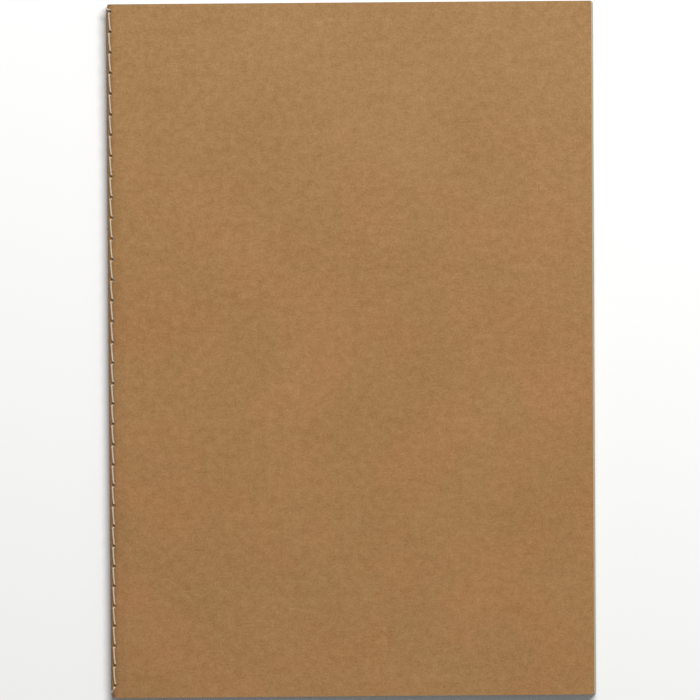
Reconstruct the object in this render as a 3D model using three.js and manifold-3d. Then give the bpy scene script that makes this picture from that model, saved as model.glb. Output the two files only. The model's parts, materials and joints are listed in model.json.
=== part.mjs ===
// A pocket notebook: sixteen sheets folded into thirty-two leaves, nested in one folded
// kraft card and sewn through the fold with a two-thread lock stitch.
//
// Millimetres. +X runs from the spine to the fore edge, +Y from the tail to the head and
// +Z from the back cover up to the front cover. The origin is under the middle of the
// closed notebook, on the surface that it lies on.

import * as THREE from 'three';
import { mergeVertices } from 'three/addons/utils/BufferGeometryUtils.js';
import Module from 'manifold-3d';

const wasm = await Module();
wasm.setup();

// Block and cover.
const HEIGHT = 148;
const FRONT_WIDTH = 103.3; // spine to the front cover's trimmed edge
const FORE_SLANT = 0.55; // how far the lowest leaf stands out past the front cover
const BACK_WIDTH = FRONT_WIDTH + 0.5;
const SHEETS = 16;
const LEAF_PITCH = 0.1; // one leaf and the air beside it
const LEAF_THICKNESS = 0.085;
const CARD = 0.3;
const CARD_GAP = 0.02; // air between the card and the block

// The fold. A leaf is free to turn from BEND_END onwards, and is held before it.
const BEND_END = 0.5;
const BEND_GAP = 0.05;
const BEND_FACETS = 8; // of 22.5 degrees each, so that one of them faces the needle

// Sewing.
const HOLES = 34;
const HEAD_MARGIN = 1.55; // head edge to the first needle hole
const TAIL_MARGIN = 2.65;
// The stitches shorten towards the tail: how far the holes run ahead of an even
// spacing, as a half wave and a whole wave along the seam.
const HOLE_DRIFT = [0.82, -0.23];
const SEWING_ANGLE = THREE.MathUtils.degToRad(33.75); // from straight up, towards the spine
const HOLE_LENGTH = 1.1; // along the spine
const HOLE_WIDTH = 0.76;
const THREAD_RADIUS = 0.18;
const THREAD_SIDES = 6;
const THREAD_CLEARANCE = 0.03; // between a stitch and the card under it
const CHANNEL_RADIUS = 0.25; // room for the bobbin thread in the innermost fold
const SLIP = 0.17; // half of what each stitch slants by, around the spine
const STITCH_BOW = 0.08; // how far the middle of a stitch bows around the spine
const BOBBIN_RISE = 0.2; // how far each hole draws the bobbin thread outwards
const BOBBIN_TAIL = 0.9;
const SPAN_RINGS = 3;

// Across one needle hole, from its head side to its tail side: the place along the spine
// from the middle of the hole, and the depth of the needle thread under a stitch.
const NEEDLE_DIP = [
  [0.42, 0],
  [0.25, 0.25],
  [0.2, 0.9],
  [0, 1.35],
  [-0.2, 0.9],
  [-0.25, 0.25],
  [-0.42, 0],
];
// A thread tail, outwards from its hole: the place along the spine, and the angle around
// it in degrees from straight up. It lies on the card.
const HEAD_TAIL = [[0.42, 38], [0.62, 53], [0.82, 70]];
const TAIL_TAIL = [[-0.5, 38], [-1.15, 53], [-1.8, 70]];

// What follows from these.
const BLOCK = 2 * SHEETS * LEAF_PITCH;
const THICKNESS = BLOCK + 2 * (CARD + CARD_GAP);
const SPINE_RADIUS = THICKNESS / 2;
const FOLDS_RADIUS = BLOCK / 2;
const TAIL_REACH = 0.206; // how far the thread tails stand out past the spine
const SPINE_X = (TAIL_REACH - FRONT_WIDTH - FORE_SLANT) / 2;
const FOLD = new THREE.Vector3(SPINE_X + SPINE_RADIUS, 0, THICKNESS / 2);
const FACET_HEIGHT = Math.cos(Math.PI / BEND_FACETS / 2);
const STITCH_LEVEL = SPINE_RADIUS * FACET_HEIGHT + THREAD_CLEARANCE + THREAD_RADIUS;
const SEAM = HEIGHT - HEAD_MARGIN - TAIL_MARGIN;

const kraft = { color: 0xa57c51, roughness: 0.88, metalness: 0 };
const cream = { color: 0xe9e2cd, roughness: 0.92, metalness: 0 };
const cotton = { color: 0xd3c4b0, roughness: 0.9, metalness: 0 };

const group = new THREE.Group();

function addPiece(name, geometry, finish) {
  const mesh = new THREE.Mesh(geometry, new THREE.MeshStandardMaterial(finish));
  mesh.name = name;
  group.add(mesh);
  return mesh;
}

function toSolid(geometry) {
  const bare = geometry.clone();
  bare.deleteAttribute('normal');
  bare.deleteAttribute('uv');
  const merged = mergeVertices(bare);
  return new wasm.Manifold(new wasm.Mesh({
    numProp: 3,
    vertProperties: merged.attributes.position.array,
    triVerts: new Uint32Array(merged.index.array),
  }));
}

function toGeometry(solid) {
  const { vertProperties, triVerts } = solid.getMesh();
  const geometry = new THREE.BufferGeometry();
  geometry.setAttribute('position', new THREE.BufferAttribute(vertProperties, 3));
  geometry.setIndex(new THREE.BufferAttribute(triVerts, 1));
  geometry.computeVertexNormals();
  return geometry;
}

// A place near the fold: out from the innermost fold line, at an angle from straight up
// towards the spine, and moved sideways around the spine towards the front cover.
function aroundFold(y, out, angle, sideways = 0) {
  return new THREE.Vector3(
    FOLD.x - Math.sin(angle) * out + Math.cos(angle) * sideways,
    y,
    FOLD.z + Math.cos(angle) * out + Math.sin(angle) * sideways,
  );
}

// ---- Leaves and cover boards, flat from the bend to the fore edge ----

function addBoard(name, bottom, thickness, foreEdge, finish) {
  const start = FOLD.x + BEND_END;
  const width = foreEdge - start;
  const board = addPiece(name, new THREE.BoxGeometry(width, HEIGHT, thickness), finish);
  board.position.set(start + width / 2, 0, bottom + thickness / 2);
}

function addLeaf(sheet, side) {
  const middle = FOLD.z + side * (sheet - 0.5) * LEAF_PITCH;
  const depth = (FOLD.z + BLOCK / 2 - middle) / BLOCK;
  const foreEdge = SPINE_X + FRONT_WIDTH + FORE_SLANT * depth;
  const number = String(sheet).padStart(2, '0');
  const name = `sheet_${number}_${side > 0 ? 'front' : 'back'}_leaf`;
  addBoard(name, middle - LEAF_THICKNESS / 2, LEAF_THICKNESS, foreEdge, cream);
}

addBoard('cover_back', 0, CARD, SPINE_X + BACK_WIDTH, kraft);
addBoard('cover_front', THICKNESS - CARD, CARD, SPINE_X + FRONT_WIDTH, kraft);
for (let sheet = 1; sheet <= SHEETS; sheet += 1) {
  addLeaf(sheet, -1);
  addLeaf(sheet, 1);
}

// ---- The folded stretch of the card and of the sheets, with its needle holes ----

// Half-round towards the spine, with short flat flaps towards the fore edge.
function foldedStretch(outer, inner) {
  const flap = FOLD.x + BEND_END - BEND_GAP;
  const outline = new THREE.Shape();
  outline.moveTo(flap, FOLD.z + outer);
  for (let i = 0; i <= BEND_FACETS; i += 1) {
    const corner = aroundFold(0, outer, (i * Math.PI) / BEND_FACETS);
    outline.lineTo(corner.x, corner.z);
  }
  outline.lineTo(flap, FOLD.z - outer);
  outline.lineTo(flap, FOLD.z - inner);
  for (let i = BEND_FACETS; i >= 0; i -= 1) {
    const corner = aroundFold(0, inner, (i * Math.PI) / BEND_FACETS);
    outline.lineTo(corner.x, corner.z);
  }
  outline.lineTo(flap, FOLD.z + inner);
  const stretch = new THREE.ExtrudeGeometry(outline, { depth: HEIGHT, bevelEnabled: false });
  stretch.rotateX(Math.PI / 2);
  stretch.translate(0, HEIGHT / 2, 0);
  return toSolid(stretch);
}

function holePlace(index) {
  const share = index / (HOLES - 1);
  const [half, whole] = HOLE_DRIFT;
  const drift = half * Math.sin(Math.PI * share) + whole * Math.sin(2 * Math.PI * share);
  return HEIGHT / 2 - HEAD_MARGIN - SEAM * share - drift;
}

function needleHole(index, from, to) {
  const hole = new THREE.BoxGeometry(HOLE_WIDTH, HOLE_LENGTH, to - from);
  hole.rotateY(-SEWING_ANGLE);
  const middle = aroundFold(holePlace(index), (from + to) / 2, SEWING_ANGLE);
  hole.translate(middle.x, middle.y, middle.z);
  return toSolid(hole);
}

function pierced(solid, from, to) {
  let result = solid;
  for (let index = 0; index < HOLES; index += 1) {
    result = result.subtract(needleHole(index, from, to));
  }
  return toGeometry(result);
}

const spineCard = foldedStretch(SPINE_RADIUS, SPINE_RADIUS - CARD);
addPiece('cover_spine', pierced(spineCard, FOLDS_RADIUS / 2, 2 * SPINE_RADIUS), kraft);
const nestedFolds = foldedStretch(FOLDS_RADIUS, CHANNEL_RADIUS);
addPiece('sheet_folds', pierced(nestedFolds, 0, 2 * SPINE_RADIUS), cream);

// ---- The two sewing threads ----

// A path that steps evenly from one point of its list to the next, so that an extrusion
// along it puts one ring on each point.
class PointPath extends THREE.Curve {
  constructor(points) {
    super();
    this.points = points;
  }

  getPoint(t, target = new THREE.Vector3()) {
    const place = t * (this.points.length - 1);
    const index = Math.min(Math.floor(place), this.points.length - 2);
    return target.lerpVectors(this.points[index], this.points[index + 1], place - index);
  }

  getUtoTmapping(u) {
    return u;
  }
}

function addThread(name, points) {
  const corners = [];
  for (let i = 0; i < THREAD_SIDES; i += 1) {
    const angle = (i * 2 * Math.PI) / THREAD_SIDES;
    corners.push(new THREE.Vector2(Math.cos(angle), Math.sin(angle)).multiplyScalar(THREAD_RADIUS));
  }
  const thread = new THREE.ExtrudeGeometry(new THREE.Shape(corners), {
    steps: points.length - 1,
    extrudePath: new PointPath(points),
  });
  addPiece(name, thread, cotton);
}

function threadTail(hole, places) {
  return places.map(([along, degrees]) => (
    aroundFold(hole + along, STITCH_LEVEL, THREE.MathUtils.degToRad(degrees))));
}

// In at a hole, down to the bobbin thread and out again.
function needleDip(hole) {
  const reach = NEEDLE_DIP[0][0];
  return NEEDLE_DIP.map(([along, depth]) => (
    aroundFold(hole + along, STITCH_LEVEL - depth, SEWING_ANGLE, (SLIP * along) / reach)));
}

// Over the card from one hole to the next: a stitch slants, and bows towards the back.
function stitchSpan(hole, next) {
  const reach = NEEDLE_DIP[0][0];
  const points = [];
  for (let i = 1; i <= SPAN_RINGS; i += 1) {
    const share = i / (SPAN_RINGS + 1);
    const y = hole - reach - share * (hole - next - 2 * reach);
    const sideways = SLIP * (2 * share - 1) - STITCH_BOW * Math.sin(Math.PI * share);
    points.push(aroundFold(y, STITCH_LEVEL, SEWING_ANGLE, sideways));
  }
  return points;
}

const firstHole = holePlace(0);
const lastHole = holePlace(HOLES - 1);
const needlePoints = threadTail(firstHole, HEAD_TAIL).reverse();
const bobbinPoints = [aroundFold(firstHole + BOBBIN_TAIL, 0, SEWING_ANGLE)];
for (let index = 0; index < HOLES; index += 1) {
  const hole = holePlace(index);
  const dip = needleDip(hole);
  if (index === 0) {
    dip.shift(); // the head tail lies there instead
  }
  if (index === HOLES - 1) {
    dip.pop();
  }
  needlePoints.push(...dip);
  if (index < HOLES - 1) {
    needlePoints.push(...stitchSpan(hole, holePlace(index + 1)));
  }
  bobbinPoints.push(
    aroundFold(hole + HOLE_LENGTH / 2, 0, SEWING_ANGLE),
    aroundFold(hole, BOBBIN_RISE, SEWING_ANGLE),
    aroundFold(hole - HOLE_LENGTH / 2, 0, SEWING_ANGLE),
  );
}
needlePoints.push(...threadTail(lastHole, TAIL_TAIL));
bobbinPoints.push(aroundFold(lastHole - BOBBIN_TAIL, 0, SEWING_ANGLE));
addThread('needle_thread', needlePoints);
addThread('bobbin_thread', bobbinPoints);

export default group;
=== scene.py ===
"""A thread-sewn pocket notebook with a plain kraft card cover, on a pale floor.

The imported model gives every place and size. The cover card, the folded sheets and the two
sewing threads are rebuilt here as thin bent sheets and twisted thread. Lengths are metres
in the row frame: +X from the spine to the fore edge, +Y to the head, +Z to the front cover.
"""

import json
import math
import random

import bpy
import numpy as np
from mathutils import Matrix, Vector


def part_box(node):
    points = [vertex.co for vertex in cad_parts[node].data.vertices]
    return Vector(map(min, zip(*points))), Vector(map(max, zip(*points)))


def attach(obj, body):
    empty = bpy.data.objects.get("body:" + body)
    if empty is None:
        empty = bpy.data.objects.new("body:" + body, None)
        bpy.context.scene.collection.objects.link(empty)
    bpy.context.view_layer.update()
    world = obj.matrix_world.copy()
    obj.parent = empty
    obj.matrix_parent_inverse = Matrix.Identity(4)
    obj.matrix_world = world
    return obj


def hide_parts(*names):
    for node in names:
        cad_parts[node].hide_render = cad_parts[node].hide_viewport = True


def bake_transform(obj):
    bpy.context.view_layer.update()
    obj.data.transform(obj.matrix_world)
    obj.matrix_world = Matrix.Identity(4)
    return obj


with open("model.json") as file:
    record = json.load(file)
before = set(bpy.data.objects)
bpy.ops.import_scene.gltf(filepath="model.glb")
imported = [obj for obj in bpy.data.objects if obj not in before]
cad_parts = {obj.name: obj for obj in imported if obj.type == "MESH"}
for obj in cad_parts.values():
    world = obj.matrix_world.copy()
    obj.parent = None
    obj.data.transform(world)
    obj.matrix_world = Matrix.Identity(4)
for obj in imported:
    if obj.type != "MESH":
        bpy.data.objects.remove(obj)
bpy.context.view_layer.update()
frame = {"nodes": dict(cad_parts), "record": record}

MM = 0.001

# ---- Places and sizes from the frame ----

JOINTS = {j["name"]: j for j in frame["record"]["behaviour"]["joints"]}
FOLD = Vector(JOINTS["centre_opening"]["pos_m"])
HINGE = Vector(JOINTS["front_cover_hinge"]["pos_m"])
BACK_LOW, BACK_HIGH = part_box("cover_back")
FRONT_LOW, FRONT_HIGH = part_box("cover_front")
TAIL_Y, HEAD_Y = BACK_LOW[1], BACK_HIGH[1]
CARD = BACK_HIGH[2] - BACK_LOW[2]
RADIUS = FRONT_HIGH[2] / 2
CARD_RADIUS = RADIUS - CARD / 2
SHEETS = sum(name.endswith("front_leaf") for name in frame["nodes"])

# ---- Sewing ----

HOLES = 34
HEAD_MARGIN = 1.55 * MM
TAIL_MARGIN = 2.65 * MM
HOLE_DRIFT = (0.82 * MM, -0.23 * MM)  # half and whole wave: the stitches shorten towards the tail
HOLE_JITTER = 0.07 * MM
SEWING_ANGLE = math.radians(33.75)  # from straight up, towards the spine
OUT_OF_SEWING = Vector((-math.sin(SEWING_ANGLE), 0, math.cos(SEWING_ANGLE)))
AROUND_SEWING = Vector((math.cos(SEWING_ANGLE), 0, math.sin(SEWING_ANGLE)))
STITCH_LEVEL = RADIUS + 0.17 * MM
HOLE_HALF_LENGTH = 0.56 * MM
HOLE_HALF_WIDTH = 0.29 * MM


def hole_places():
    jitter = random.Random(34)
    seam = HEAD_Y - TAIL_Y - HEAD_MARGIN - TAIL_MARGIN
    places = []
    for i in range(HOLES):
        share = i / (HOLES - 1)
        half, whole = HOLE_DRIFT
        drift = half * math.sin(math.pi * share) + whole * math.sin(2 * math.pi * share)
        even_place = HEAD_Y - HEAD_MARGIN - seam * share
        places.append(even_place - drift + jitter.uniform(-1, 1) * HOLE_JITTER)
    return places


HOLE_PLACES = hole_places()


def around_fold(y, out, angle, sideways=0.0):
    return Vector((
        FOLD.x - math.sin(angle) * out + math.cos(angle) * sideways,
        y,
        FOLD.z + math.cos(angle) * out + math.sin(angle) * sideways,
    ))


# ---- Materials ----


class Nodes:
    """A material's node tree, with short ways to add and join nodes."""

    def __init__(self, name, roughness, specular=0.3):
        self.material = bpy.data.materials.new(name)
        self.material.use_nodes = True
        self.tree = self.material.node_tree
        self.shader = self.tree.nodes["Principled BSDF"]
        self.shader.inputs["Roughness"].default_value = roughness
        self.shader.inputs["Specular IOR Level"].default_value = specular

    def add(self, kind, **values):
        node = self.tree.nodes.new(kind)
        for key, value in values.items():
            setattr(node, key, value)
        return node

    def set(self, socket, value):
        if hasattr(value, "is_output"):
            self.tree.links.new(value, socket)
        elif value is not None:
            socket.default_value = value

    def math(self, operation, a, b=None, clamp=False):
        node = self.add("ShaderNodeMath", operation=operation, use_clamp=clamp)
        self.set(node.inputs[0], a)
        self.set(node.inputs[1], b)
        return node.outputs[0]

    def ramp(self, value, low, high, to_low=0.0, to_high=1.0):
        node = self.add("ShaderNodeMapRange", interpolation_type="SMOOTHSTEP")
        for socket, number in zip(node.inputs[:5], (value, low, high, to_low, to_high)):
            self.set(socket, number)
        return node.outputs[0]

    def mix(self, factor, a, b, blend="MIX"):
        node = self.add("ShaderNodeMix", data_type="RGBA", blend_type=blend)
        self.set(node.inputs[0], factor)
        self.set(node.inputs[6], a)
        self.set(node.inputs[7], b)
        return node.outputs[2]

    def surface(self, angle=0.0, stretch=1.0):
        """Millimetres across the unrolled sheet, turned and stretched along X."""
        uv = self.add("ShaderNodeUVMap", uv_map="sheet_mm")
        mapping = self.add("ShaderNodeMapping")
        self.set(mapping.inputs["Vector"], uv.outputs[0])
        mapping.inputs["Rotation"].default_value = (0, 0, math.radians(angle))
        mapping.inputs["Scale"].default_value = (1 / stretch, 1, 1)
        return mapping.outputs[0]

    def noise(self, vector, scale, detail=2.0, roughness=0.5, distortion=0.0):
        node = self.add("ShaderNodeTexNoise")
        self.set(node.inputs["Vector"], vector)
        for name, value in (
            ("Scale", scale),
            ("Detail", detail),
            ("Roughness", roughness),
            ("Distortion", distortion),
        ):
            node.inputs[name].default_value = value
        return node.outputs[0]

    def attribute(self, name):
        return self.add("ShaderNodeAttribute", attribute_name=name).outputs["Fac"]

    def fibres(self, angle, scale, width, stretch=9.0):
        """Thin bright lines where a stretched noise passes its middle value."""
        value = self.noise(self.surface(angle, stretch), scale, 2.0, 0.55, 0.6)
        distance = self.math("ABSOLUTE", self.math("SUBTRACT", value, 0.5))
        return self.ramp(distance, 0.0, width, 1.0, 0.0)

    def specks(self, scale, radius, share):
        """Small round spots of about radius mm, in a share of the cells of 1 / scale mm."""
        node = self.add("ShaderNodeTexVoronoi")
        self.set(node.inputs["Vector"], self.surface())
        node.inputs["Scale"].default_value = scale
        spot = self.ramp(node.outputs["Distance"], radius * scale * 0.5, radius * scale, 1.0, 0.0)
        pick = self.add("ShaderNodeSeparateColor")
        self.set(pick.inputs[0], node.outputs["Color"])
        return self.math("MULTIPLY", spot, self.math("LESS_THAN", pick.outputs[0], share))

    def spread(self, noise, amount):
        """A noise about zero instead of a half, times an amount."""
        return self.math("MULTIPLY", self.math("SUBTRACT", noise, 0.5), amount)

    def toned(self, colour, tone, gains=(1, 1, 1)):
        """The colour brightened by a tone about zero, with a gain for red, green and blue."""
        factor = self.add("ShaderNodeCombineColor")
        for socket, gain in zip(factor.inputs[:3], gains):
            self.set(socket, self.math("ADD", self.math("MULTIPLY", tone, gain), 1.0))
        return self.mix(1.0, colour, factor.outputs[0], "MULTIPLY")

    def up_the_sheet(self):
        """Millimetres from the middle of the sheet towards its head."""
        parts = self.add("ShaderNodeSeparateXYZ")
        self.set(parts.inputs[0], self.surface())
        return parts.outputs[1]

    def bump(self, height, strength, distance):
        node = self.add("ShaderNodeBump")
        node.inputs["Strength"].default_value = strength
        node.inputs["Distance"].default_value = distance
        self.set(node.inputs["Height"], height)
        self.set(self.shader.inputs["Normal"], node.outputs[0])

    def colour(self, value):
        self.set(self.shader.inputs["Base Color"], value)


def srgb(red, green, blue):
    """A linear colour from 0 to 255 screen values."""
    def one(value):
        value /= 255
        return value / 12.92 if value <= 0.04045 else ((value + 0.055) / 1.055) ** 2.4
    return (one(red), one(green), one(blue), 1.0)


def kraft_card():
    n = Nodes("kraft_card", roughness=0.86)
    hue = n.ramp(n.noise(n.surface(), scale=0.05, detail=3.0, roughness=0.6), 0.35, 0.65)
    base = n.mix(hue, srgb(154, 111, 69), srgb(150, 112, 69))
    # A little paler and greyer from the middle of the sheet to its head.
    base = n.mix(n.ramp(n.up_the_sheet(), 0.0, 74.0), base, srgb(152, 115, 73))
    clouds = n.noise(n.surface(), scale=0.035, detail=4.0, roughness=0.7)
    mottle = n.noise(n.surface(), scale=0.55, detail=2.0, roughness=0.8)
    grain = n.noise(n.surface(), scale=2.6, detail=2.0, roughness=0.7)
    tone = n.math("ADD", n.spread(clouds, 0.30), n.spread(mottle, 0.54))
    tone = n.math("ADD", tone, n.spread(grain, 0.85))
    pale = n.math(
        "MAXIMUM",
        n.fibres(angle=12, scale=0.9, width=0.018),
        n.fibres(angle=-38, scale=0.75, width=0.014),
    )
    pale = n.math("MAXIMUM", pale, n.fibres(angle=77, scale=0.8, width=0.014))
    dark = n.math(
        "MAXIMUM",
        n.fibres(angle=-15, scale=0.6, width=0.012),
        n.fibres(angle=52, scale=0.7, width=0.012),
    )
    tone = n.math("ADD", tone, n.math("MULTIPLY", pale, 0.06))
    tone = n.math("SUBTRACT", tone, n.math("MULTIPLY", dark, 0.06))
    dark_specks = n.specks(scale=0.09, radius=0.22, share=0.30)
    pale_specks = n.specks(scale=0.13, radius=0.16, share=0.25)
    tone = n.math("SUBTRACT", tone, n.math("MULTIPLY", dark_specks, 0.22))
    tone = n.math("ADD", tone, n.math("MULTIPLY", pale_specks, 0.14))
    edge = n.attribute("edge")
    wear = n.math("MULTIPLY", edge, n.ramp(clouds, 0.4, 0.6, 0.0, 0.06))
    tone = n.math("ADD", tone, wear)
    colour = n.toned(base, tone, gains=(0.8, 1.0, 1.45))
    # Painted shade, partly real: within 0.15 mm of a cut edge the card goes darker and greyer. This
    # is partly its own rougher cut fibre and partly painted shade along the rim.
    dark_rim_and_shade = n.ramp(edge, 0.75, 1.0, 0.0, 0.55)
    n.colour(n.mix(dark_rim_and_shade, colour, srgb(116, 98, 78)))
    height = n.math("ADD", n.math("MULTIPLY", grain, 0.8), n.math("MULTIPLY", pale, 0.35))
    n.bump(height, strength=0.35, distance=0.03 * MM)
    n.set(n.shader.inputs["Roughness"], n.ramp(grain, 0.3, 0.7, 0.80, 0.92))
    return n.material


def page_paper():
    n = Nodes("page_paper", roughness=0.9, specular=0.25)
    clouds = n.noise(n.surface(), scale=0.05, detail=4.0, roughness=0.7)
    base = n.mix(n.ramp(clouds, 0.35, 0.65), srgb(236, 228, 208), srgb(231, 224, 205))
    grain = n.noise(n.surface(), scale=2.2, detail=4.0, roughness=0.65)
    fibre = n.math(
        "MAXIMUM",
        n.fibres(angle=20, scale=1.1, width=0.016),
        n.fibres(angle=-50, scale=1.0, width=0.016),
    )
    tone = n.ramp(grain, 0.25, 0.75, -0.025, 0.015)
    tone = n.math("SUBTRACT", tone, n.math("MULTIPLY", fibre, 0.025))
    # Painted shade: within 0.15 mm of a cut edge the paper goes darker, standing in for the shade
    # between the stacked leaves' edges.
    dark_rim_and_shade = n.ramp(n.attribute("edge"), 0.75, 1.0, 0.0, 0.5)
    n.colour(n.toned(base, n.math("SUBTRACT", tone, dark_rim_and_shade)))
    n.bump(grain, strength=0.25, distance=0.02 * MM)
    n.set(n.shader.inputs["Roughness"], n.ramp(grain, 0.3, 0.7, 0.86, 0.94))
    return n.material


def sewing_thread():
    n = Nodes("sewing_thread", roughness=0.8, specular=0.3)
    strands = n.noise(n.surface(stretch=8.0), scale=9.0, detail=3.0, roughness=0.6)
    n.colour(n.mix(n.ramp(strands, 0.3, 0.7), srgb(172, 156, 135), srgb(212, 196, 174)))
    n.bump(strands, strength=0.6, distance=0.02 * MM)
    n.shader.inputs["Sheen Weight"].default_value = 0.25
    n.shader.inputs["Sheen Roughness"].default_value = 0.5
    return n.material


FLOOR_COLOUR = (0.83, 0.83, 0.82, 1)


def floor_paint():
    n = Nodes("pale_floor", roughness=0.9, specular=0.2)
    n.shader.inputs["Base Color"].default_value = FLOOR_COLOUR
    return n.material


KRAFT, PAPER, THREAD = kraft_card(), page_paper(), sewing_thread()


# ---- Thin bent sheets ----


WARP = 0.05 * MM
WARP_START = 0.35  # the share of the cover's width over which the warp grows from nothing
OUT_OF_SQUARE = 0.24 * MM  # the fore edge stands out by this at the head, and in at the tail
PINCH_LENGTH = 1.2 * MM  # the ends of the spine are pressed in
PINCH = 0.17
NIP = 0.2  # the sewing holds the spine this much thinner than the block
NIP_START = FOLD.x - 1.1 * MM
NIP_END = FOLD.x + 1.9 * MM
LOOSE_GRIP = 0.15  # share of the nip at the head, where the sewing is slack
LOOSE_LENGTH = 12 * MM
GRIP_LENGTH = 30 * MM  # and how far past that it takes to reach all of it


def smooth(share):
    """A smooth step from 0 to 1."""
    share = np.clip(share, 0, 1)
    return share * share * (3 - 2 * share)


def swell(x, y):
    """The block's gentle warp at the front cover, which dies away towards the spine."""
    along = (y - TAIL_Y) / (HEAD_Y - TAIL_Y)
    across = (x - FOLD.x) / (FRONT_HIGH[0] - FOLD.x)
    wave = np.sin(5.1 * along + 1.9 * across) + 0.6 * np.sin(8.7 * along - 4.3 * across + 1.2)
    return WARP * (1 + 0.6 * wave) * smooth(across / WARP_START)


def nipped(x, z, y=0.0):
    """The height of a place once the sewing has drawn the spine together."""
    grip = LOOSE_GRIP + (1 - LOOSE_GRIP) * smooth((HEAD_Y - y - LOOSE_LENGTH) / GRIP_LENGTH)
    near_spine = 1 - smooth((x - NIP_START) / (NIP_END - NIP_START))
    return FOLD.z + (z - FOLD.z) * (1 - NIP * grip * near_spine)


def trim_and_wear(co):
    """The drawn-in spine, its pressed-in ends and the slightly skew fore edge."""
    x, y = co[..., 0], co[..., 1]
    co[..., 2] = nipped(x, co[..., 2], y)
    share = np.clip((x - FOLD.x) / (BACK_HIGH[0] - FOLD.x), 0, 1)
    gap = np.minimum(HEAD_Y - y, y - TAIL_Y)
    press = PINCH * smooth(1 - gap / PINCH_LENGTH)
    co[..., 0] = x + OUT_OF_SQUARE * y / HEAD_Y * share + press * np.clip(FOLD.x - x, 0, None)


class Section:
    """A sheet's cross-section in XZ: places on its middle, outward normals, how far along
    the unrolled sheet each lies, and half its thickness there."""

    def __init__(self):
        self.places, self.normals, self.along, self.half = [], [], [], []

    def add(self, place, normal, along, half):
        self.places.append(place)
        self.normals.append(normal)
        self.along.append(along)
        self.half.append(half)

    def turn(self, radius, angle, half):
        """One place round the fold, at an angle from straight up towards the spine."""
        normal = (-math.sin(angle), math.cos(angle))
        place = (FOLD.x + radius * normal[0], FOLD.z + radius * normal[1])
        self.add(place, normal, radius * (math.pi / 2 - angle), half)

    def arc(self, radius, start, end, steps, half, skip_first=False):
        """Even places round the fold from one angle to another."""
        for i in range(1 if skip_first else 0, steps + 1):
            self.turn(radius, start + (end - start) * i / steps, half)

    def flat(self, xs, height, side, radius, half):
        """Flat at a height from the fold line, on the front (+1) or back (-1) side."""
        for x in xs:
            along = side * (radius * math.pi / 2 + x - FOLD.x)
            value = half(x) if callable(half) else half
            level = height(x) if callable(height) else height
            self.add((x, FOLD.z + side * level), (0, side), along, value)


def edge_steps(length, near, count):
    """Places from 0 to length: a few close to the far edge, and even ones before them."""
    inner = length - near[0]
    return [inner * i / count for i in range(count)] + [length - gap for gap in near]


CORNER = 0.3 * MM  # the radius of a sheet's corners at the fore edge
EDGE_BAND = 0.6 * MM  # how far in from a cut edge the "edge" value reaches
NO_FORE_EDGE = 1.0  # far beyond every place, for a sheet that ends at a seam
TINY = 1e-12


def loft(name, section, ys, material, rise=0.0, skip=None, worn=True, fore_edge=True):
    """A closed thin sheet: the section swept along Y. skip(i, j) leaves a cell out. Only a
    sheet that reaches the fore edge is cut and rounded there."""
    places = np.array(section.places)
    normals = np.array(section.normals)
    half = np.array(section.half)
    along = np.array(section.along)
    n, m = len(places), len(ys)
    y = np.array(ys)
    co = np.zeros((m, n, 2, 3))
    for k, sign in enumerate((1, -1)):
        co[:, :, k, 0] = places[:, 0] + sign * normals[:, 0] * half
        co[:, :, k, 2] = places[:, 1] + sign * normals[:, 1] * half
        co[:, :, k, 1] = y[:, None]
    far = places[:, 0].max() if fore_edge else NO_FORE_EDGE
    to_end = np.minimum(HEAD_Y - y, y - TAIL_Y)[:, None]
    to_far = (far - places[:, 0])[None, :]
    across = np.clip(CORNER - to_far, 0, None)
    up = np.clip(CORNER - to_end, 0, None)
    reach = np.maximum(np.hypot(across, up), TINY)
    pull = np.where((across > 0) & (up > 0), np.minimum(1, CORNER / reach), 1) - 1
    co[:, :, :, 0] += (across * pull)[:, :, None]
    co[:, :, :, 1] += (up * pull * np.sign(y)[:, None])[:, :, None]
    if rise:
        co[:, :, :, 2] += (rise * swell(co[:, :, 0, 0], co[:, :, 0, 1]))[:, :, None]
    if worn:
        trim_and_wear(co)
    kept = np.ones((m - 1, n - 1), bool)
    if skip:
        for j in range(m - 1):
            for i in range(n - 1):
                kept[j, i] = not skip(i, j)

    def vertex(j, i, k):
        return (j * n + i) * 2 + k

    faces = []
    for j in range(m - 1):
        for i in range(n - 1):
            if not kept[j, i]:
                continue
            quad = ((j, i), (j + 1, i), (j + 1, i + 1), (j, i + 1))
            faces.append([vertex(*q, 0) for q in quad])
            faces.append([vertex(*q, 1) for q in reversed(quad)])
            beside = ((j, i - 1), (j + 1, i), (j, i + 1), (j - 1, i))
            for side, (bj, bi) in enumerate(beside):
                if 0 <= bj < m - 1 and 0 <= bi < n - 1 and kept[bj, bi]:
                    continue
                p, q = quad[side], quad[(side + 1) % 4]
                faces.append([vertex(*q, 0), vertex(*p, 0), vertex(*p, 1), vertex(*q, 1)])
    edge = np.clip(1 - np.minimum(to_end, to_far) / EDGE_BAND, 0, 1)
    uv = np.stack(np.broadcast_arrays(along[None, :] / MM, y[:, None] / MM), axis=-1)
    return make_mesh(
        name,
        co.reshape(-1, 3),
        faces,
        material,
        np.repeat(uv.reshape(-1, 2), 2, axis=0),
        np.repeat(np.broadcast_to(edge, (m, n)).reshape(-1), 2),
    )


SHARP_ANGLE = math.radians(50)


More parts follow.
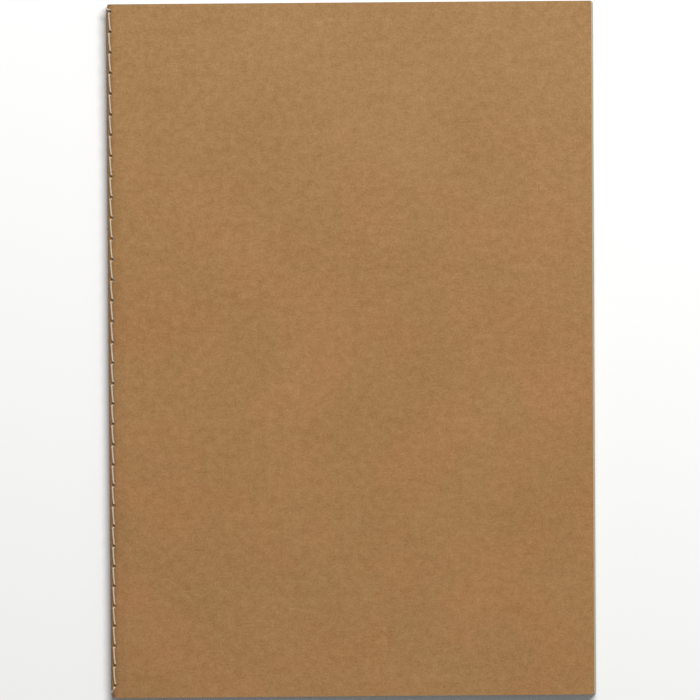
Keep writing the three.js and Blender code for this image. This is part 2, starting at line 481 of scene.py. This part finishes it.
def make_mesh(name, co, faces, material, uv, edge=None):
    """A smooth mesh with the unrolled places as UVs, in mm, and sharp rims."""
    mesh = bpy.data.meshes.new(name)
    mesh.from_pydata([tuple(v) for v in co], [], faces)
    mesh.validate()
    layer = mesh.uv_layers.new(name="sheet_mm")
    corners = np.zeros(len(mesh.loops), np.int32)
    mesh.loops.foreach_get("vertex_index", corners)
    layer.data.foreach_set("uv", uv[corners].astype(np.float32).reshape(-1))
    values = np.zeros(len(co)) if edge is None else edge
    mesh.attributes.new("edge", "FLOAT", "POINT").data.foreach_set(
        "value", values.astype(np.float32)
    )
    mesh.shade_smooth()
    mesh.set_sharp_from_angle(angle=SHARP_ANGLE)
    mesh.materials.append(material)
    mesh.update()
    obj = bpy.data.objects.new(name, mesh)
    bpy.context.scene.collection.objects.link(obj)
    return obj


def wear_mesh(obj):
    """trim_and_wear for a mesh that is already made."""
    co = np.zeros(len(obj.data.vertices) * 3)
    obj.data.vertices.foreach_get("co", co)
    co = co.reshape(-1, 3)
    trim_and_wear(co)
    obj.data.vertices.foreach_set("co", co.reshape(-1))
    obj.data.update()


def even(low, high, count):
    """Even places from low to high, both included."""
    return [low + (high - low) * i / count for i in range(count + 1)]


# Gaps to a cut edge, at which the card has stations.
CARD_EDGE = [0.6 * MM, 0.3 * MM, 0.2 * MM, 0.1 * MM, 0.04 * MM, 0.0]
END_STEPS = {HEAD_Y - gap for gap in CARD_EDGE} | {gap - HEAD_Y for gap in CARD_EDGE}
CARD_YS = sorted(END_STEPS | set(even(TAIL_Y + 2 * MM, HEAD_Y - 2 * MM, 72)))
SEWN_YS = sorted(END_STEPS | set(even(TAIL_Y + 0.8 * MM, HEAD_Y - 0.8 * MM, 560)))


# ---- The cover card ----

# The spine card is made in three stretches.
# At an angle from straight up, a place should have turned by this share of the opening.
SEWN_END = math.radians(66)
REST_END = math.pi - SEWN_END
BEND_LEAN = math.radians(-115)  # the way that the sewn stretch's blend runs, from straight up


def turned_share(angle):
    return 1 - angle / math.pi


def unsmooth(share):
    """The place between 0 and 1 at which a smooth step has that value."""
    return 0.5 - math.sin(math.asin(1 - 2 * share) / 3)


def on_card(angle):
    """The middle of the card at an angle from straight up, from the fold line."""
    place = around_fold(0, CARD_RADIUS, angle)
    place.z = nipped(place.x, place.z)
    return place - FOLD


def bend_spine(piece, stretch):
    """Works out how a stretch of the spine would blend from the back cover's body to the front
    half's, then fixes the piece where it stands; no blend is set up.
    """
    if stretch == "middle":
        reach = on_card(SEWN_END).z / (2 * unsmooth(turned_share(SEWN_END)) - 1)
        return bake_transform(piece)
    direction = Vector((-math.sin(BEND_LEAN), 0, math.cos(BEND_LEAN)))
    top, seam = direction.dot(on_card(0)), direction.dot(on_card(SEWN_END))
    reach = (top - seam) / (1 - unsmooth(turned_share(SEWN_END)))
    start, end = direction * (top - reach), direction * top
    if stretch == "resting":
        flip = Vector((1, 1, -1))
        start, end = end * flip, start * flip
    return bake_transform(piece)


GROOVE_REACH = 1.2 * MM  # either side of the sewing line
LINE_DEPTH = 0.05 * MM  # the shallow groove along the stitches
LINE_WIDTH = 0.3 * MM
PIT_DEPTH = 0.10 * MM  # the dip round each hole
PIT_WIDTH = 0.42 * MM
PIT_LENGTH = 0.55 * MM
LINE_END = 0.4 * MM  # how far the line runs on past the first and last holes


def groove(obj):
    """Draws the card in under the stitches, and more around each needle hole."""
    holes = np.array(HOLE_PLACES)
    for v in obj.data.vertices:
        place = v.co - FOLD
        side = place.dot(AROUND_SEWING)
        if place.dot(OUT_OF_SEWING) < 0 or abs(side) > GROOVE_REACH:
            continue
        near = np.abs(holes - v.co.y).min()
        line = LINE_DEPTH * math.exp(-((side / LINE_WIDTH) ** 2))
        pit = PIT_DEPTH * math.exp(-((side / PIT_WIDTH) ** 2) - (near / PIT_LENGTH) ** 2)
        inside = holes[-1] - LINE_END < v.co.y < holes[0] + LINE_END
        v.co -= OUT_OF_SEWING * (pit + (line if inside else 0))


def hole_cutter():
    """An oval peg through the spine card for each needle hole."""
    sides = 16
    co, faces = [], []
    for place in HOLE_PLACES:
        first = len(co)
        for level in (CARD_RADIUS - CARD, CARD_RADIUS + CARD):
            for i in range(sides):
                angle = 2 * math.pi * i / sides
                width = HOLE_HALF_WIDTH * math.cos(angle)
                length = HOLE_HALF_LENGTH * math.sin(angle)
                spot = FOLD + OUT_OF_SEWING * level + AROUND_SEWING * width
                co.append((spot.x, place + length, spot.z))
        for i in range(sides):
            j = (i + 1) % sides
            faces.append([first + i, first + j, first + sides + j, first + sides + i])
        faces.append([first + i for i in reversed(range(sides))])
        faces.append([first + sides + i for i in range(sides)])
    mesh = bpy.data.meshes.new("pegs")
    mesh.from_pydata(co, [], faces)
    obj = bpy.data.objects.new("pegs", mesh)
    bpy.context.scene.collection.objects.link(obj)
    return obj


def cut_holes(obj):
    """Cuts the needle holes through the sewn stretch of the spine."""
    pegs = hole_cutter()
    modifier = obj.modifiers.new("holes", "BOOLEAN")
    modifier.operation = "DIFFERENCE"
    modifier.solver = "EXACT"
    modifier.object = pegs
    bpy.context.view_layer.update()
    result = bpy.data.meshes.new_from_object(
        obj.evaluated_get(bpy.context.evaluated_depsgraph_get())
    )
    obj.modifiers.clear()
    obj.data = result
    bpy.data.objects.remove(pegs)
    result.set_sharp_from_angle(angle=SHARP_ANGLE)


CRUSHED = 0.8  # the share of its thickness that the card keeps at its cut edge
CRUSHED_WITHIN = 0.02 * MM


def card_half(far):
    """Half the card's thickness at x: its cut edge is slightly crushed."""
    def value(x):
        return CARD / 2 * (CRUSHED if far - x < CRUSHED_WITHIN else 1)
    return value


NEAR_FOLD = 2.4 * MM  # the stretch beside the fold where the card curves
CREASE = 1.7 * MM  # the width over which the front cover bends when it opens
SEAM = HINGE.x - 0.05 * MM  # where the sewn stretch ends and the front cover starts


def make_back_card():
    """The back cover and the lowest stretch of the spine."""
    back = Section()
    length = BACK_HIGH[0] - FOLD.x
    xs = even(FOLD.x, FOLD.x + NEAR_FOLD, 12)[:-1]
    xs += [FOLD.x + NEAR_FOLD + s for s in edge_steps(length - NEAR_FOLD, CARD_EDGE, 40)]
    back.flat(reversed(xs), CARD_RADIUS, -1, CARD_RADIUS, card_half(BACK_HIGH[0]))
    back.arc(CARD_RADIUS, math.pi, REST_END, 12, CARD / 2, skip_first=True)
    piece = loft("cover_back_card", back, CARD_YS, KRAFT)
    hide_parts("cover_back", "cover_spine")
    bend_spine(piece, "resting")


def make_spine_card():
    """The middle stretch of the spine."""
    middle = Section()
    middle.arc(CARD_RADIUS, REST_END, SEWN_END, 12, CARD / 2)
    piece = loft("cover_spine_card", middle, CARD_YS, KRAFT, fore_edge=False)
    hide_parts("cover_spine")
    bend_spine(piece, "middle")


def make_sewn_card():
    """The spine's sewn stretch, up to the front cover."""
    half = CARD / 2
    sewn = Section()
    sewn.arc(CARD_RADIUS, SEWN_END, 0, 24, half)
    sewn.flat([FOLD.x + (SEAM - FOLD.x) * s for s in (0.5, 1)], CARD_RADIUS, 1, CARD_RADIUS, half)
    piece = loft("cover_sewn_card", sewn, SEWN_YS, KRAFT, worn=False, fore_edge=False)
    groove(piece)
    cut_holes(piece)
    wear_mesh(piece)
    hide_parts("cover_spine")
    bend_spine(piece, "sewn")


def make_front_card():
    front = Section()
    length = FRONT_HIGH[0] - SEAM
    xs = even(SEAM, SEAM + CREASE, 12)[:-1]
    xs += [SEAM + CREASE + s for s in edge_steps(length - CREASE, CARD_EDGE, 60)]
    front.flat(xs, CARD_RADIUS, 1, CARD_RADIUS, card_half(FRONT_HIGH[0]))
    piece = loft("cover_front_card", front, CARD_YS, KRAFT, rise=1.0)
    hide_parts("cover_front")
    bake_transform(piece)


# ---- The sheets ----

FOLD_ANGLES = [math.radians(d) for d in (180, 158, 136, 114, 92, 74, 58, 42, 25.5, 12, 0)]
HOLE_ANGLE = math.radians(42)  # a needle hole runs from here to the next fold angle
HOLE_REACH = 0.36 * MM  # up and down from its middle
FOLD_PAPER = 0.04 * MM  # paper pressed thin in the fold
GUTTER = 1.6 * MM  # where it has its full thickness and height again
CORE = 0.19 * MM  # how much wider than its level the innermost sheet's fold is
CORE_FADE = 0.25 * MM  # and the distance over which that dies away in the outer ones
LEAF_EDGE = [0.4 * MM, 0.15 * MM, 0.0]  # gaps to a cut edge, at which a leaf has stations
LEAF_NEAR = 7 * MM  # the stretch beside the fold that has fine stations
LEAF_TRIM = 0.06 * MM  # the most that a leaf's fore edge falls short


def past_gutter(x):
    """How far through the gutter a place is, from 0 in the fold to 1 outside it."""
    return smooth((x - FOLD.x) / GUTTER)


def leaf_height(level, fold_radius):
    """A leaf's distance from the fold line at x: its fold's radius, then its own level."""
    def value(x):
        return fold_radius + (level - fold_radius) * past_gutter(x)
    return value


def leaf_half(thick):
    """Half a leaf's thickness at x."""
    def value(x):
        return (FOLD_PAPER + (thick - FOLD_PAPER) * past_gutter(x)) / 2
    return value


def sheet_stations():
    """The stations up a sheet, and which cells between them hold a needle hole."""
    ys = {HEAD_Y - gap for gap in LEAF_EDGE} | {gap - HEAD_Y for gap in LEAF_EDGE}
    for place in HOLE_PLACES:
        ys |= {place - HOLE_REACH, place + HOLE_REACH}
    for a, b in zip(HOLE_PLACES, HOLE_PLACES[1:]):
        ys.add((a + b) / 2)
    ys = sorted(ys)
    middles = [(a + b) / 2 for a, b in zip(ys, ys[1:])]
    gaps = [min(abs(middle - place) for place in HOLE_PLACES) for middle in middles]
    return ys, {j for j, gap in enumerate(gaps) if gap < 0.01 * MM}


SHEET_YS, HOLE_ROWS = sheet_stations()


def at_hole(i, j):
    """Whether a front leaf's cell is a needle hole through its fold."""
    return i == FOLD_ANGLES.index(HOLE_ANGLE) and j in HOLE_ROWS


def make_leaf(sheet, word, side, trim):
    """A leaf on the front (side 1) or back (-1). The front one takes in its sheet's fold."""
    node = f"sheet_{sheet:02d}_{word}_leaf"
    low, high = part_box(node)
    level = abs((low[2] + high[2]) / 2 - FOLD.z)
    thick = high[2] - low[2]
    fold_radius = level + CORE * math.exp(-level / CORE_FADE)
    far = high[0] - trim.uniform(0, LEAF_TRIM)
    near = FOLD.x + LEAF_NEAR
    xs = even(FOLD.x, FOLD.x + GUTTER, 8) + even(FOLD.x + GUTTER, near, 9)[1:]
    xs += [near + s for s in edge_steps(far - near, LEAF_EDGE, 22)[1:]]
    section = Section()
    if side > 0:
        for angle in FOLD_ANGLES[:-1]:
            section.turn(fold_radius, angle, FOLD_PAPER / 2)
    along_xs = xs if side > 0 else reversed(xs)
    section.flat(along_xs, leaf_height(level, fold_radius), side, fold_radius, leaf_half(thick))
    rise = (FOLD.z + side * level) / FRONT_HIGH[2]
    skip = at_hole if side > 0 else None
    piece = loft(f"sheet_{sheet:02d}_{word}", section, SHEET_YS, PAPER, rise, skip)
    if side > 0:
        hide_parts(node, "sheet_folds")
        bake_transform(piece)
    else:
        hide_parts(node)
        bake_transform(piece)


def make_sheets():
    trim = random.Random(16)
    for sheet in range(1, SHEETS + 1):
        for side, word in ((1, "front"), (-1, "back")):
            make_leaf(sheet, word, side, trim)


# ---- The two sewing threads ----

PLY_RADIUS = 0.102 * MM
PLY_OFFSET = 0.088 * MM
PLIES = 3
TWIST = 1.0 * MM  # one turn of the plies
END_SIZE = 0.45  # a ply's share of its radius at its very end
END_GROWTH = 0.3  # and how much more at each step inwards
SLIP = 0.16 * MM  # half of what a stitch slants by, around the spine
BOW = 0.05 * MM  # how far a stitch bows aside


def smooth_line(points, step):
    """A Catmull-Rom curve through the points, as places about step apart."""
    p = [2 * points[0] - points[1], *points, 2 * points[-1] - points[-2]]
    line = []
    for a, b, c, d in zip(p, p[1:], p[2:], p[3:]):
        count = max(2, round((c - b).length / step))
        for i in range(count):
            t = i / count
            line.append(0.5 * ((2 * b) + (c - a) * t + (2 * a - 5 * b + 4 * c - d) * t * t
                               + (3 * b - 3 * c + d - a) * t ** 3))
    return line + [points[-1]]


def carried_frames(line):
    """Each place with two vectors across the line, which turn no more than it does."""
    frames = []
    side = None
    for i, place in enumerate(line):
        ahead = (line[min(i + 1, len(line) - 1)] - line[max(i - 1, 0)]).normalized()
        side = ahead.orthogonal() if side is None else side - ahead * side.dot(ahead)
        side.normalize()
        frames.append((place, side.copy(), ahead.cross(side)))
    return frames


def twisted(name, points, step=0.11 * MM, sides=6):
    """Plies wound round each other along a smooth line, each with rounded ends."""
    frames = carried_frames(smooth_line(points, step))
    co, faces, uv = [], [], []
    for ply in range(PLIES):
        first = len(co)
        travelled = 0.0
        for index, (place, side, up) in enumerate(frames):
            if index:
                travelled += (place - frames[index - 1][0]).length
            turn = 2 * math.pi * (travelled / TWIST + ply / PLIES)
            out = side * math.cos(turn) + up * math.sin(turn)
            centre = place + out * PLY_OFFSET
            from_end = min(index, len(frames) - 1 - index)
            size = PLY_RADIUS * min(1, END_SIZE + END_GROWTH * from_end)
            for k in range(sides):
                angle = 2 * math.pi * k / sides + turn
                co.append(centre + (side * math.cos(angle) + up * math.sin(angle)) * size)
                uv.append((travelled / MM, ply + k / sides))
        for index in range(len(frames) - 1):
            a = first + index * sides
            for k in range(sides):
                b = (k + 1) % sides
                faces.append([a + k, a + b, a + sides + b, a + sides + k])
        faces.append([first + k for k in reversed(range(sides))])
        faces.append([len(co) - sides + k for k in range(sides)])
    co = np.array([tuple(v) for v in co])
    trim_and_wear(co)
    return make_mesh(name, co, faces, THREAD, np.array(uv))


def needle_points():
    """Tail, then in and out of every hole with a slanting stitch between, then tail."""
    vary = random.Random(8)
    level, angle = STITCH_LEVEL, SEWING_ANGLE
    # Through a hole: how far up the spine, how deep, and how many slips sideways.
    dip = [(0.52, 0, 1), (0.43, 0.10, 1), (0.36, 0.38, 1), (0.27, 0.78, 1), (0, 1.0, 0),
           (-0.27, 0.85, -1.4), (-0.38, 0.45, -1.9), (-0.44, 0.12, -1.4), (-0.54, 0, -1)]
    head = [(0.88, 73), (0.74, 62), (0.60, 54), (0.46, 46)]
    points = [around_fold(HOLE_PLACES[0] + a * MM, level, math.radians(d)) for a, d in head]
    for index, hole in enumerate(HOLE_PLACES):
        first = 2 if index == 0 else 0
        last = len(dip) - (2 if index == HOLES - 1 else 0)
        for along, depth, slips in dip[first:last]:
            points.append(around_fold(hole + along * MM, level - depth * MM, angle, SLIP * slips))
        if index == HOLES - 1:
            continue
        bow = BOW * vary.uniform(0.5, 1.5)
        reach = dip[0][0] * MM
        for share in (0.14, 0.32, 0.5, 0.68, 0.86):
            y = hole - reach - share * (hole - HOLE_PLACES[index + 1] - 2 * reach)
            sideways = SLIP * (2 * share - 1) - bow * math.sin(math.pi * share)
            points.append(around_fold(y, level, angle, sideways))
    tail = [(-0.5, 37), (-0.95, 46), (-1.4, 58), (-1.85, 72)]
    points += [around_fold(HOLE_PLACES[-1] + a * MM, level, math.radians(d)) for a, d in tail]
    return points


def bobbin_points():
    """Along the innermost fold, drawn outwards a little at each hole."""
    points = [around_fold(HOLE_PLACES[0] + 0.9 * MM, 0, SEWING_ANGLE)]
    for hole in HOLE_PLACES:
        for along, rise in ((0.5, 0), (0, 0.12), (-0.5, 0)):
            points.append(around_fold(hole + along * MM, rise * MM, SEWING_ANGLE))
    points.append(around_fold(HOLE_PLACES[-1] - 0.9 * MM, 0, SEWING_ANGLE))
    return points


def make_threads():
    needle = twisted("needle_thread_twisted", needle_points())
    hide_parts("needle_thread")
    bend_spine(needle, "sewn")
    bobbin = twisted("bobbin_thread_twisted", bobbin_points())
    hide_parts("bobbin_thread")
    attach(bobbin, "back_cover")


# ---- Floor, light and camera ----

VIEW_WIDTH = 149.3 * MM  # across the picture, at the front cover
CAMERA_DISTANCE = 1.66
TURN = math.radians(0.45)  # how far the notebook is turned in the picture
LOOK_AT = Vector((-0.27 * MM, -0.13 * MM, FRONT_HIGH[2]))
SENSOR_WIDTH = 36  # millimetres, as Blender takes it
FLOOR_HALF = 3.0
LAMP_PLACE = (0.23, 0.66, 0.84)
LAMP_WIDTH = 0.8
LAMP_DEPTH = 0.2
LAMP_POWER = 15.1
SKY_COLOUR = (0.98, 0.99, 1.0, 1)
SKY_STRENGTH = 0.26


def make_floor():
    mesh = bpy.data.meshes.new("floor")
    corners = [(FLOOR_HALF * x, FLOOR_HALF * y, 0) for x, y in ((-1, -1), (1, -1), (1, 1), (-1, 1))]
    mesh.from_pydata(corners, [], [(0, 1, 2, 3)])
    mesh.materials.append(floor_paint())
    floor = bpy.data.objects.new("floor", mesh)
    bpy.context.scene.collection.objects.link(floor)


def make_light():
    """A long lamp behind the head, turned towards the notebook."""
    lamp = bpy.data.lights.new("lamp_bar", "AREA")
    lamp.shape = "RECTANGLE"
    lamp.size = LAMP_WIDTH
    lamp.size_y = LAMP_DEPTH
    lamp.energy = LAMP_POWER
    obj = bpy.data.objects.new("lamp_bar", lamp)
    obj.location = LAMP_PLACE
    obj.rotation_euler = (-Vector(LAMP_PLACE)).to_track_quat("-Z", "Y").to_euler()
    bpy.context.scene.collection.objects.link(obj)


def make_studio():
    scene = bpy.context.scene
    world = bpy.data.worlds.new("studio")
    world.use_nodes = True
    background = world.node_tree.nodes["Background"]
    background.inputs["Color"].default_value = SKY_COLOUR
    background.inputs["Strength"].default_value = SKY_STRENGTH
    scene.world = world
    make_light()
    scene.view_settings.view_transform = "Standard"
    scene.view_settings.look = "None"


def make_camera():
    data = bpy.data.cameras.new("camera")
    data.sensor_width = SENSOR_WIDTH
    data.lens = data.sensor_width * CAMERA_DISTANCE / VIEW_WIDTH
    data.clip_start = 0.01
    data.clip_end = 20
    camera = bpy.data.objects.new("camera", data)
    camera.location = LOOK_AT + Vector((0, 0, CAMERA_DISTANCE))
    camera.rotation_euler = (0, 0, -TURN)
    bpy.context.scene.collection.objects.link(camera)
    bpy.context.scene.camera = camera


make_camera()
make_back_card()
make_spine_card()
make_sewn_card()
make_front_card()
make_sheets()
make_threads()
make_floor()
make_studio()
